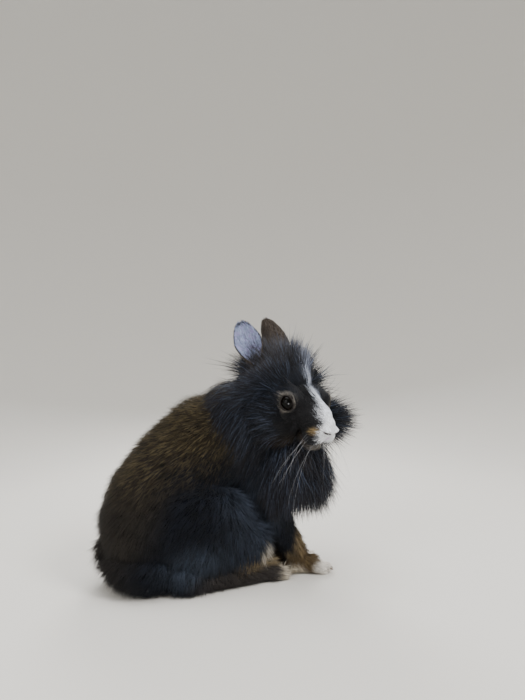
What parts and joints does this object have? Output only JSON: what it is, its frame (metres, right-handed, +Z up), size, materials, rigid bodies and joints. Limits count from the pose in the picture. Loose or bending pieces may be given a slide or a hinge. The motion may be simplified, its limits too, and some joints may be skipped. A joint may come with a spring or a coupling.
{
  "type": "lionhead rabbit model",
  "caption": "Life-size still model of a young lionhead rabbit, sitting with its head turned, with a mane of tapered locks.",
  "frame": {"origin": "on the floor, under the middle of the animal's box", "axes": "+X forward along the body, +Y to the animal's left, +Z up from the floor"},
  "size_m": [0.2286, 0.155, 0.2322],
  "materials": {
    "dark_coat": "matt short fur",
    "grey_mane": "matt long wool",
    "pale_paws": "matt short fur",
    "ear_skin": "thin skin with short down",
    "eye": "wet gloss"
  },
  "bodies": {
    "root": {"torso": "dark_coat", "tail": "dark_coat", "haunch_right": "dark_coat", "haunch_left": "dark_coat", "foreleg_right": "dark_coat", "foreleg_left": "dark_coat", "hindfoot_right": "pale_paws", "hindfoot_left": "pale_paws", "forepaw_right": "pale_paws", "forepaw_left": "pale_paws", "neck": "grey_mane", "head": "grey_mane", "ear_right": "ear_skin", "ear_left": "ear_skin", "eye_right": "eye", "eye_left": "eye"}
  },
  "joints": []
}
